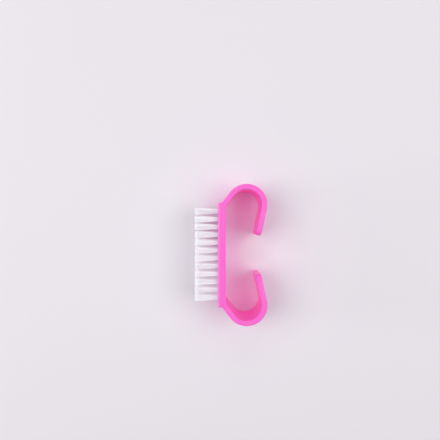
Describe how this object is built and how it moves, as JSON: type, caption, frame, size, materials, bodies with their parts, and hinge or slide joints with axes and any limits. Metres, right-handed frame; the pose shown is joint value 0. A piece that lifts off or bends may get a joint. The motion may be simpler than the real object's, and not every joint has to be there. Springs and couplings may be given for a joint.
{
  "type": "nail brush",
  "caption": "Small hand-held nail brush: a pink moulded base bar that curls up at both ends into an open finger loop, with short trimmed tufts of white bristles.",
  "frame": {"origin": "under the middle of the brush, on the side face that it lies on", "axes": "+X from the bristle tips to the crown of the handle, +Y along the brush, +Z across its width, up"},
  "size_m": [0.036, 0.07, 0.024],
  "materials": {
    "handle_plastic": "glossy injection-moulded pink polypropylene",
    "bristle_nylon": "translucent white nylon filament, cut flat",
    "anchor_steel": "cut flat steel strip"
  },
  "bodies": {
    "root": {"handle": "handle_plastic", "tuft_row1_01": "bristle_nylon", "tuft_row1_02": "bristle_nylon", "tuft_row1_03": "bristle_nylon", "tuft_row1_04": "bristle_nylon", "tuft_row1_05": "bristle_nylon", "tuft_row1_06": "bristle_nylon", "tuft_row1_07": "bristle_nylon", "tuft_row1_08": "bristle_nylon", "tuft_row1_09": "bristle_nylon", "tuft_row1_10": "bristle_nylon", "tuft_row1_11": "bristle_nylon", "tuft_row1_12": "bristle_nylon", "tuft_row2_01": "bristle_nylon", "tuft_row2_02": "bristle_nylon", "tuft_row2_03": "bristle_nylon", "tuft_row2_04": "bristle_nylon", "tuft_row2_05": "bristle_nylon", "tuft_row2_06": "bristle_nylon", "tuft_row2_07": "bristle_nylon", "tuft_row2_08": "bristle_nylon", "tuft_row2_09": "bristle_nylon", "tuft_row2_10": "bristle_nylon", "tuft_row2_11": "bristle_nylon", "tuft_row2_12": "bristle_nylon", "tuft_row3_01": "bristle_nylon", "tuft_row3_02": "bristle_nylon", "tuft_row3_03": "bristle_nylon", "tuft_row3_04": "bristle_nylon", "tuft_row3_05": "bristle_nylon", "tuft_row3_06": "bristle_nylon", "tuft_row3_07": "bristle_nylon", "tuft_row3_08": "bristle_nylon", "tuft_row3_09": "bristle_nylon", "tuft_row3_10": "bristle_nylon", "tuft_row3_11": "bristle_nylon", "tuft_row3_12": "bristle_nylon", "tuft_row4_01": "bristle_nylon", "tuft_row4_02": "bristle_nylon", "tuft_row4_03": "bristle_nylon", "tuft_row4_04": "bristle_nylon", "tuft_row4_05": "bristle_nylon", "tuft_row4_06": "bristle_nylon", "tuft_row4_07": "bristle_nylon", "tuft_row4_08": "bristle_nylon", "tuft_row4_09": "bristle_nylon", "tuft_row4_10": "bristle_nylon", "tuft_row4_11": "bristle_nylon", "tuft_row4_12": "bristle_nylon", "anchors_row_1": "anchor_steel", "anchors_row_2": "anchor_steel", "anchors_row_3": "anchor_steel", "anchors_row_4": "anchor_steel"}
  },
  "joints": []
}
